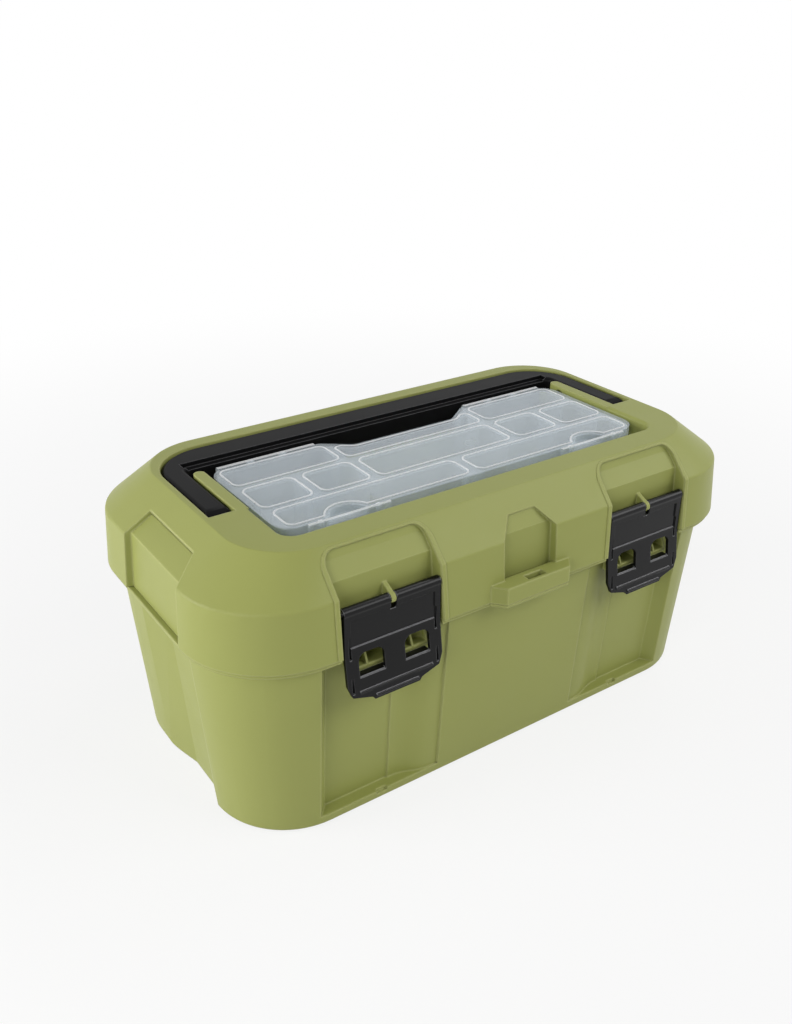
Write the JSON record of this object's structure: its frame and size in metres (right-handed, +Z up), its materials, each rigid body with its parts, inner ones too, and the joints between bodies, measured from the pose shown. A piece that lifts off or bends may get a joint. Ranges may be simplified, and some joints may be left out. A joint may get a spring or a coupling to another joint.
{
  "type": "toolbox",
  "caption": "Moulded plastic toolbox with a hinged lid, folding carry handle, front latches, padlock eye and a clear small-parts organiser stowed in the lid.",
  "frame": {"origin": "middle of the face that the box stands on", "axes": "+Z up, +X along the length to the right seen from the latches, -Y towards the latches"},
  "size_m": [0.5, 0.2955, 0.229],
  "materials": {
    "body_green": "fine moulded grain",
    "lid_green": "fine moulded grain",
    "handle_black": "satin",
    "latch_black": "satin",
    "pin_steel": "plain",
    "tray_clear": "milky clear",
    "cover_clear": "milky clear",
    "clip_clear": "milky clear"
  },
  "bodies": {
    "base": {"base_shell": "body_green", "lid_hinge_pin_left": "pin_steel", "lid_hinge_pin_right": "pin_steel"},
    "lid": {"lid_shell": "lid_green"},
    "handle": {"carry_handle": "handle_black"},
    "latch_left": {"front_latch_left": "latch_black"},
    "latch_right": {"front_latch_right": "latch_black"},
    "organizer": {"organizer_tray": "tray_clear"},
    "organizer_cover": {"organizer_lid": "cover_clear"},
    "clip_left": {"organizer_clip_left": "clip_clear"},
    "clip_right": {"organizer_clip_right": "clip_clear"}
  },
  "joints": [
    {"name": "lid_hinge", "type": "hinge", "parent": "base", "child": "lid", "pos_m": [0, 0.1436, 0.156], "axis": [-1, 0, 0], "range_deg": [0, 100]},
    {"name": "handle_swing", "type": "hinge", "parent": "lid", "child": "handle", "pos_m": [0, -0.0135, 0.217], "axis": [1, 0, 0], "range_deg": [0, 90]},
    {"name": "latch_left_swing", "type": "hinge", "parent": "lid", "child": "latch_left", "pos_m": [-0.1225, -0.1306, 0.1884], "axis": [-1, 0, 0], "range_deg": [0, 110]},
    {"name": "latch_right_swing", "type": "hinge", "parent": "lid", "child": "latch_right", "pos_m": [0.1225, -0.1306, 0.1884], "axis": [-1, 0, 0], "range_deg": [0, 110]},
    {"name": "organizer_lift", "type": "slide", "parent": "lid", "child": "organizer", "axis": [0, 0, 1], "range_m": [0, 0.16]},
    {"name": "organizer_cover_swing", "type": "hinge", "parent": "organizer", "child": "organizer_cover", "pos_m": [0, 0.0499, 0.2242], "axis": [-1, 0, 0], "range_deg": [0, 110]},
    {"name": "clip_left_swing", "type": "hinge", "parent": "organizer_cover", "child": "clip_left", "pos_m": [-0.1175, -0.0721, 0.2252], "axis": [-1, 0, 0], "range_deg": [0, 110]},
    {"name": "clip_right_swing", "type": "hinge", "parent": "organizer_cover", "child": "clip_right", "pos_m": [0.1175, -0.0721, 0.2252], "axis": [-1, 0, 0], "range_deg": [0, 110]}
  ]
}
